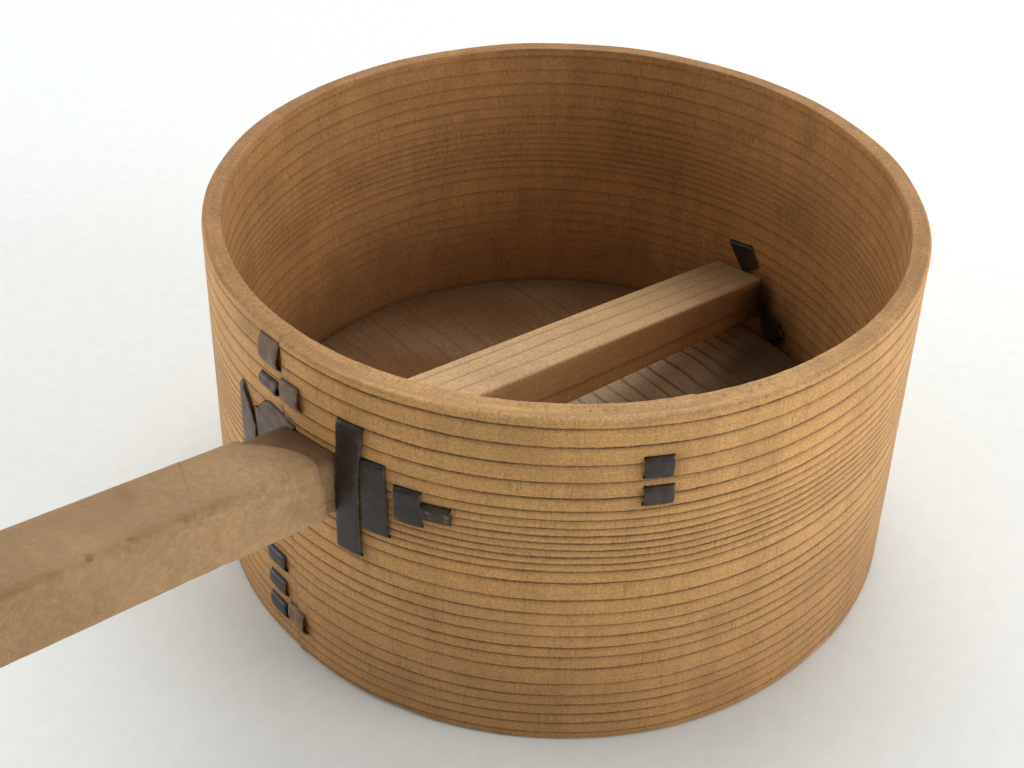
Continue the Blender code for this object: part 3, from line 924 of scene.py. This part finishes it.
def wall_stain_and_shade(points, stains):
    """How stained and how sooty the wall is, with painted shade and painted light laid into both. Each
    entry of stains is a strip's azimuth, middle, width and height.

    Heights here are in millimetres.
    """
    degrees, radius, z = around_axis(points)
    depth = outer_radius(degrees, z) - radius
    inside = smooth(depth, 3.6 * MM, 4.2 * MM)
    outside = 1 - inside
    z = z / MM
    floor_top = FLOOR_BOX[1].z / MM

    round_strips = np.zeros(len(points))
    for azimuth, middle, width, tall in stains:
        across = (degrees - azimuth + 180) % 360 - 180
        dx = np.maximum(np.abs(np.radians(across)) * RIM_RADIUS - width / 2, 0) / MM
        dz = np.maximum(np.abs(z - middle / MM) - tall / 2 / MM, 0)
        round_strips = np.maximum(round_strips, 0.38 * np.exp(-np.hypot(dx, dz) / 1.1))

    # Azimuths from -180 to 180, for places near the handle's far end.
    turned = (degrees + 180) % 360 - 180
    place = columns(degrees / 9, z / 9)
    cloud = 0.14 * smooth(waves(41, place, 1.6), 0.1, 1.2)
    # Inside, a worn tone, deeper toward the far side as painted shade; on the right, painted shade high up
    # and painted light low down.
    worn = 0.40 + 0.08 * np.cos(np.radians(degrees - 70))
    worn = worn + near(turned, -35, 35) * (0.12 * smooth(z, 30, 60) - 0.30 * smooth(z, 48, 20))
    # Low inside, darkest toward the far side: water stain and painted shade together.
    damp_and_shade = 0.54 * smooth(z, 45, 8) * (0.5 + 0.5 * np.cos(np.radians(degrees - 80)))
    seat = 0.25 * smooth(z, floor_top + 2.2, floor_top)
    # Outside, darker toward the foot.
    low = 0.50 * smooth(z, 56, 4)
    spill = 0.42 * near(degrees, 168, 4.5) * near(z, 80, 2.2)
    grime = 0.22 * smooth(z, 5, 0) * (0.5 + 0.5 * waves(43, place, 0.7))
    stain_and_shade = round_strips + cloud + spill + grime + inside * (worn + damp_and_shade + seat) + outside * low

    # Inside by the handle's far end, near black: painted shadow with some stain, low in the corner, beside
    # the bar's end and round the far strip's lower end.
    corner = 0.55 * spot(turned + 12, z - 13, 7.5, 9)
    beside_bar = 0.80 * spot(turned + 8, z - 23.5, 3.4, 7)
    round_strip_end = 0.95 * spot(turned + 12, z - 14.9, 3.1, 3.9)
    foot_line = 0.15 * smooth(z, floor_top + 1.5, floor_top)
    band_end = 0.5 * near(degrees, OUTER_END, 0.22) * (0.6 + 0.4 * waves(44, z, 5.0))
    torn_slit = 0.8 * near(degrees, 177.2, 1.9) * near(z, 66.4 - (degrees - 177.2) * 0.35, 0.7)
    soot_and_shade = inside * (corner + beside_bar + round_strip_end + foot_line) + outside * (band_end + torn_slit)
    return np.clip(stain_and_shade, 0, 0.85), soot_and_shade


def handle_frame():
    along = Vector((-math.cos(TILT), 0, math.sin(TILT)))
    side = Vector((0, -1, 0))
    up = Vector((math.sin(TILT), 0, math.cos(TILT)))
    rotation = Matrix((along, side, up)).transposed().to_4x4()
    return Matrix.Translation((0, BAR_OFFSET, AXIS_HEIGHT)) @ rotation


HANDLE = np.array(handle_frame())


def handle_points(along, side, up):
    """World points from the handle's own directions: out along it, to its right and up."""
    local = columns(along, side, up).reshape(-1, 3)
    return local @ HANDLE[:3, :3].T + HANDLE[:3, 3]


def mortise_cutter():
    """A box through the near wall, a little larger than the bar."""
    gap = 0.22 * MM
    half_width, half_depth = BAR_WIDTH / 2 + gap, BAR_DEPTH / 2 + gap
    places = [(x, y * half_width, z * half_depth) for x in (70 * MM, 98 * MM) for y, z in SQUARE]
    return mesh_object("mortise", handle_points(*np.array(places).T), tube_faces(2, 4))


# ---- the floor board

BOARD_RING = 5.2 * MM
# The board's rings run at this angle to the handle.
BOARD_GRAIN = math.radians(78)


def make_floor(look):
    """The round board, its rings running across under the handle and standing a little proud."""
    radius, thick = FLOOR_BOX[1].x, FLOOR_BOX[1].z
    bevel, sides = 0.5 * MM, 288
    inner = list(np.linspace(0.5 * MM, radius - 1.5 * MM, 96))
    outline = [(r, thick) for r in inner] + round_off(radius, thick, -bevel, -bevel, 5)
    outline += [(radius, z) for z in np.linspace(thick - bevel, bevel, 8)]
    outline += round_off(radius, 0, -bevel, bevel, 5, level_first=False)[1:]
    outline += [(r, 0.0) for r in inner[-2::-1]]
    degrees = np.linspace(0, 360, sides, endpoint=False)
    points = np.concatenate([polar(r * oval(degrees), degrees, z) for r, z in outline])
    x, y = points[:, 0].copy(), points[:, 1].copy()
    along = x * math.cos(BOARD_GRAIN) + y * math.sin(BOARD_GRAIN)
    across = -x * math.sin(BOARD_GRAIN) + y * math.cos(BOARD_GRAIN)
    ripple = waves(61, columns(along, across) * 25, 0.5)
    bend = 1.5 * MM * np.sin(along * 18.75 + 1) + 0.3 * MM * ripple
    across = across + bend + 0.3 * points[:, 2]
    edges = ring_edges(11, 100 * MM, -100 * MM, lambda _: BOARD_RING, 0.35)
    count = ring_at(edges, across)[0]
    from_line = np.minimum(count % 1, 1 - count % 1) * BOARD_RING
    on_top = smooth(points[:, 2], thick - 0.1 * MM, thick)
    points[:, 2] -= on_top * 0.12 * MM * smooth(from_line, 0.2 * MM, 1.4 * MM)
    floor = mesh_object("floor_board_disc", points, tube_faces(len(outline), sides), sharp=50)

    # The board is paler beside the bar. In the corner right of the bar by the far wall it is painted dark:
    # painted shade with some stain.
    out = smooth(np.hypot(x, y), radius - 7 * MM, radius)
    cloud = 0.06 * waves(62, columns(x, y) / (30 * MM), 0.8)
    x, y = x / MM, y / MM
    middle = 1 + 0.2 * np.maximum(x - 47, 0)
    pale = np.exp(-(((x - 43) / 44) ** 4) - ((y - middle) / 15.5) ** 4)
    greyer = 0.34 * smooth(x, 64, 26)
    stain_and_shade = np.clip(0.92 - (0.92 - greyer) * pale + cloud, 0, 0.97)
    # Painted shade, with some stain, in the corner right of the bar by the far wall.
    corner = 0.66 * (1 - pale) * near(np.hypot(x - 70, y + 20), 0, 36) * smooth(y, 4, -12)
    soot_and_shade = np.maximum(0.3 * out, corner)
    put_rings(floor, edges, across, along, points[:, 2], 1 - 0.4 * stain_and_shade, stain_and_shade, soot_and_shade)
    return finish(floor, "floor_board", look)


# ---- the handle


def round_section(width, depth, radius, corner_steps, side_steps):
    """Points round a rectangle with round corners, starting at the right side and going up and over."""
    points = []
    corners = ((1, 1), (-1, 1), (-1, -1), (1, -1))
    centres = [np.array([y * (width / 2 - radius), z * (depth / 2 - radius)]) for y, z in corners]
    for i, centre in enumerate(centres):
        for step in range(corner_steps + 1):
            angle = math.pi / 2 * (i + step / corner_steps)
            points.append(centre + radius * np.array([math.cos(angle), math.sin(angle)]))
        start = points[-1]
        end = centres[(i + 1) % 4] + start - centre
        points += [start + (end - start) * t for t in np.linspace(0, 1, side_steps + 2)[1:-1]]
    return np.array(points)


BAR_RING = 4.3 * MM
# The rings' slope through the bar's section.
BAR_GRAIN = math.radians(24)


def make_bar(look):
    """The square bar: hand planed, its edges worn round, upright at its end against the far wall."""
    # In the photo the bar all but touches the far wall.
    tip_x = BAR_BOX[1].x + 1.2 * MM
    section = round_section(1.0, 1.0, 0.05, 3, 9)
    around = len(section)
    far = -(tip_x - 2 * MM) / math.cos(TILT)
    in_cup = np.linspace(far, 78 * MM, 70)
    outside = np.linspace(80 * MM, HANDLE_REACH - 1 * MM, 110)
    x = np.concatenate([in_cup, outside])[:, None]
    depth = BAR_TIP_DEPTH + (BAR_DEPTH - BAR_TIP_DEPTH) * ramp(x, far, RIM_RADIUS - WALL)
    local = columns(x, section[:, 0] * BAR_WIDTH, section[:, 1] * depth).reshape(-1, 3)
    uneven = waves(71, local * (12, 60, 60), 1.0) * 0.06 * MM
    local[:, 1] *= 1 - 0.004 - uneven / BAR_WIDTH
    local[:, 2] *= 1 - 0.004 - uneven / BAR_DEPTH
    rows = list(local.reshape(-1, around, 3))
    first, last = rows[0], rows[-1]
    # The inner end is upright: its x in the world is fixed, so its place along the bar follows its height.
    for shrink, back in ((1.0, 0.5 * MM), (0.97, 0.1 * MM), (0.93, 0.0)):
        cap = first * (1, shrink, shrink)
        cap[:, 0] = (cap[:, 2] * math.sin(TILT) - tip_x + back) / math.cos(TILT)
        rows.insert(0, cap)
    for shrink, out in ((0.97, 0.6 * MM), (0.92, 1.0 * MM)):
        rows.append(last * (1, shrink, shrink) + (out, 0, 0))
    local = np.concatenate(rows)
    bar = mesh_object("handle_bar_wood", handle_points(*local.T), tube_faces(len(rows), around), sharp=50)

    x, side, up = local.T
    across = side * math.cos(BAR_GRAIN) + up * math.sin(BAR_GRAIN) + 0.006 * x
    across = across + 0.25 * MM * waves(72, local * (9, 40, 40), 0.5)
    edges = ring_edges(5, 20 * MM, -20 * MM, lambda _: BAR_RING, 0.2)
    # Stained between the wall and the paper, and a little sooty on top there. Deeper in the cup it is
    # painted darker, and on its inner end, below the top, painted near black: shade from the far wall.
    exposed = smooth(x, 76 * MM, 84 * MM)
    on_top = smooth(up, BAR_DEPTH * 0.3, BAR_DEPTH * 0.45)
    grime = smooth(waves(73, local * 40, 0.8), 0.0, 1.3) * 0.12
    # Painted shade, deeper in the cup.
    deep_shade = 0.48 * smooth(x, -5 * MM, -75 * MM)
    stain_and_shade = (0.6 + 0.28 * on_top) * exposed + grime + deep_shade
    below_top = 1 - smooth(up, BAR_DEPTH * 0.28, BAR_DEPTH * 0.36)
    # Painted shadow, near black, on the inner end below the top, by the far wall.
    soot_and_shade = 0.74 * smooth(x, -54 * MM, -80 * MM) * below_top
    soot_and_shade = np.maximum(soot_and_shade, 0.25 * on_top * exposed)
    put_rings(bar, edges, across, x, up, 1.0, stain_and_shade, soot_and_shade)
    return finish(bar, "handle_bar", look)


WRAP_THICK = 0.4 * MM
WRAP_GAP = 0.3 * MM
# Where the paper stops at the cup's side of the grip, round the bar from its right side up and over.
WRAP_EDGE = (
    (-180, 97.0), (-140, 92.0), (-90, 89.5), (-45, 88.6), (-20, 89.6), (0, 90.2), (20, 91.6), (42, 93.2),
    (65, 93.4), (90, 95.4), (115, 98.4), (135, 101.0), (165, 101.5), (180, 97.0),
)
# In millimetres along the handle: the seam's two ends, and the (place, length, strength) of dents
# along the upper right edge.
SEAM_LEFT, SEAM_RIGHT = 113.8, 123.7
DENTS = ((126.0, 1.0, 0.5), (138, 1.6, 0.7), (146, 2.0, 0.3), (112, 6, 0.15), (170, 9, 0.2))


def make_wrap(look):
    """Brown paper wound round the grip: soft at its edges, dented along its upper right edge."""
    width = BAR_WIDTH + 2 * (WRAP_GAP + WRAP_THICK)
    depth = BAR_DEPTH + 2 * (WRAP_GAP + WRAP_THICK)
    section = round_section(width, depth, 1.5 * MM, 6, 14)
    inner = round_section(width - 2 * WRAP_THICK, depth - 2 * WRAP_THICK, 1.1 * MM, 6, 14)
    around = len(section)
    angle = np.arctan2(section[:, 1] / depth, section[:, 0] / width)
    start = np.interp(np.degrees(angle), *zip(*WRAP_EDGE)) * MM
    start += 0.12 * MM * waves(81, columns(np.cos(angle), np.sin(angle)) * 4, 1.0)
    share = np.concatenate([np.linspace(0, 0.27, 150), np.linspace(0.275, 1, 130)])
    rows = len(share)
    x = start[None, :] + (WRAP_REACH - start)[None, :] * share[:, None]
    local = columns(x, *section.T).reshape(-1, 3)
    normal = local / (1, width, depth) * (0, 1, 1)
    normal /= np.linalg.norm(normal, axis=1)[:, None]

    # From here on, in millimetres.
    mm = local / MM
    along, side, up = mm.T
    half_width, half_depth = width / 2 / MM, depth / 2 / MM
    share = np.repeat(share, around)
    left_edge = np.hypot(side + half_width, up - half_depth)
    right_edge = np.hypot(side - half_width, up - half_depth)
    crumple = waves(82, mm, 26.0) * 0.06 + waves(83, mm, 6.0) * 0.05
    crumple = crumple * (1 - 0.8 * near(left_edge, 0, 3))
    dents = sum(strength * near(along, at, length) for at, length, strength in DENTS)
    pinch = near(right_edge, 0, 2.2)
    seam = SEAM_LEFT + (SEAM_RIGHT - SEAM_LEFT) * ramp(side, -half_width, half_width)
    seam = seam + 0.15 * waves(84, side, 6.0)
    over = smooth(along - seam, -0.15, 0.15) * smooth(up / half_depth, 0.4, 0.9)
    frayed = np.clip(dents, 0, 1) * pinch * (waves(90, mm, 1.8) * 0.20 - 0.12)
    push = crumple + frayed - 0.03 * pinch * (0.5 + 0.5 * waves(85, along, 9.0)) + 0.08 * over
    push = push + 0.15 * (1 - smooth(share, 0.0, 0.012)) * waves(86, mm, 5.0)
    outer = local + normal * (push * MM)[:, None]
    hollow = columns(x[::-1], *inner.T)
    keep = np.r_[0, np.arange(1, rows - 1, 12), rows - 1]
    whole = np.concatenate([outer, hollow[keep].reshape(-1, 3)])
    faces = grid_faces(rows + len(keep), around, wrap_rows=True, wrap_columns=True)
    wrap = mesh_object("grip_wrap_paper", handle_points(*whole.T), faces, sharp=60)

    above = smooth(up / half_depth, 0.76, 1.0)
    uneven = smooth(waves(88, along, 8.0), -0.8, 0.9)
    specks = smooth(waves(91, mm, 1.6), -0.2, 0.9)
    crease = 0.14 * uneven * near(right_edge, 0, 0.6)
    crease = crease + 0.95 * near(right_edge, 0, 1.2) * specks * smooth(dents, 0.03, 0.4)
    crease = crease + 0.22 * smooth(waves(87, mm, 14.0), 0.5, 1.5)
    crease = crease + 0.20 * (1 - smooth(share, 0, 0.006))
    far = smooth(along, 100, 150)
    soil = above * (0.42 + 0.40 * far + 0.18 * waves(89, mm, 24.0)) + 0.34 * (1 - above) * far
    # The seam shows only on top; elsewhere, and inside, it is far away.
    no_seam = 9.0
    values = (
        ("crease", np.clip(crease, 0, 0.8), 0.0),
        ("soil", np.clip(soil, 0, 0.75), 0.0),
        ("seam", np.where(above > 0.05, along - seam, no_seam), no_seam),
    )
    for name, value, within in values:
        put_attribute(wrap, name, np.r_[value, np.full(len(whole) - len(value), within)])
    put_attribute(wrap, "grain", whole, "FLOAT_VECTOR")
    return finish(wrap, "grip_wrap", look)


# ---- stage, light and camera

# Fitted to the photo: the azimuth, distance and height of its place in degrees and metres, then
# where it looks in degrees, and its lens in millimetres.
CAMERA_BEARING = 217.13
CAMERA_DISTANCE = 0.3033
CAMERA_HEIGHT = 0.2520
CAMERA_HEADING = 39.235
CAMERA_PITCH = -36.157
CAMERA_ROLL = 1.407
CAMERA_LENS = 53.31


def make_camera():
    data = bpy.data.cameras.new("camera")
    data.lens = CAMERA_LENS
    data.sensor_width = 36
    data.clip_start = 0.01
    heading, pitch, roll = (math.radians(a) for a in (CAMERA_HEADING, CAMERA_PITCH, CAMERA_ROLL))
    forward = Vector(polar(math.cos(pitch), CAMERA_HEADING, math.sin(pitch)))
    right = Vector((math.sin(heading), -math.cos(heading), 0))
    up = right.cross(forward)
    side = right * math.cos(roll) + up * math.sin(roll)
    top = up * math.cos(roll) - right * math.sin(roll)
    place = polar(CAMERA_DISTANCE, CAMERA_BEARING, CAMERA_HEIGHT)
    camera = link("camera", data)
    camera.matrix_world = Matrix.Translation(place) @ Matrix((side, top, -forward)).transposed().to_4x4()
    bpy.context.scene.camera = camera


def make_stage():
    """A plain pale table, just under the part."""
    look = Look("table_white")
    place = look.node("ShaderNodeTexCoord").outputs["Object"]
    dust = look.noise(place, (220, 220, 220))
    colour = look.mix(look.remap(dust, 0.3, 0.7), (0.80, 0.826, 0.81), (0.825, 0.85, 0.835))
    normal = look.bump(dust, TABLE_RELIEF, 0.25)
    half, z = 2.5, -0.3 * MM
    corners = [(x * half, y * half, z) for x, y in SQUARE]
    table = mesh_object("table", corners, [(0, 1, 2, 3)])
    table.data.materials.append(look.finish(colour, 0.7, normal, Specular_IOR_Level=0.2))


# Each light's name, azimuth, elevation, distance, diameter in metres and power in watts.
LIGHTS = (
    ("overhead_back", 28, 56, 1.2, 0.9, 5.8),
    ("window_right", -72, 20, 1.2, 0.8, 7.0),
    ("window_left", 122, 15, 1.2, 0.8, 4.8),
)
# The studio is brightest in this direction, and its strength goes from dim to bright toward it.
BRIGHT_SIDE = polar(0.92, 37.0, 0.39)
STUDIO_DIM, STUDIO_BRIGHT = 0.19, 0.92


def add_light(name, azimuth, elevation, distance, size, power):
    data = bpy.data.lights.new(name, "AREA")
    data.shape = "DISK"
    data.size = size
    data.energy = power
    rise = math.radians(elevation)
    place = Vector(polar(distance * math.cos(rise), azimuth, distance * math.sin(rise)))
    turn = place.to_track_quat("Z", "Y").to_matrix().to_4x4()
    link(name, data).matrix_world = Matrix.Translation(place) @ turn


def make_light():
    """A soft studio that is brightest behind the cup as the camera sees it, with three soft lights."""
    world = bpy.data.worlds.new("studio")
    world.use_nodes = True
    tree = world.node_tree
    background = tree.nodes["Background"]
    direction = tree.nodes.new("ShaderNodeTexCoord").outputs["Generated"]
    behind = tree.nodes.new("ShaderNodeVectorMath")
    behind.operation = "DOT_PRODUCT"
    behind.inputs[1].default_value = BRIGHT_SIDE
    spread = tree.nodes.new("ShaderNodeMapRange")
    spread.interpolation_type = "SMOOTHSTEP"
    numbers = {"From Min": -0.7, "From Max": 0.9, "To Min": STUDIO_DIM, "To Max": STUDIO_BRIGHT}
    for key, number in numbers.items():
        spread.inputs[key].default_value = number
    tree.links.new(direction, behind.inputs[0])
    tree.links.new(behind.outputs["Value"], spread.inputs["Value"])
    tree.links.new(spread.outputs["Result"], background.inputs["Strength"])
    background.inputs["Color"].default_value = (1.0, 1.0, 0.985, 1)
    bpy.context.scene.world = world
    bpy.context.scene.view_settings.view_transform = "Standard"
    for light in LIGHTS:
        add_light(*light)


def main():
    bark = bark_look()
    cutters, stains = make_strips(bark)
    make_wall(band_look(), cutters, stains)
    make_floor(board_look())
    make_bar(bar_look())
    make_wrap(paper_look())
    make_stage()
    make_light()
    make_camera()


main()
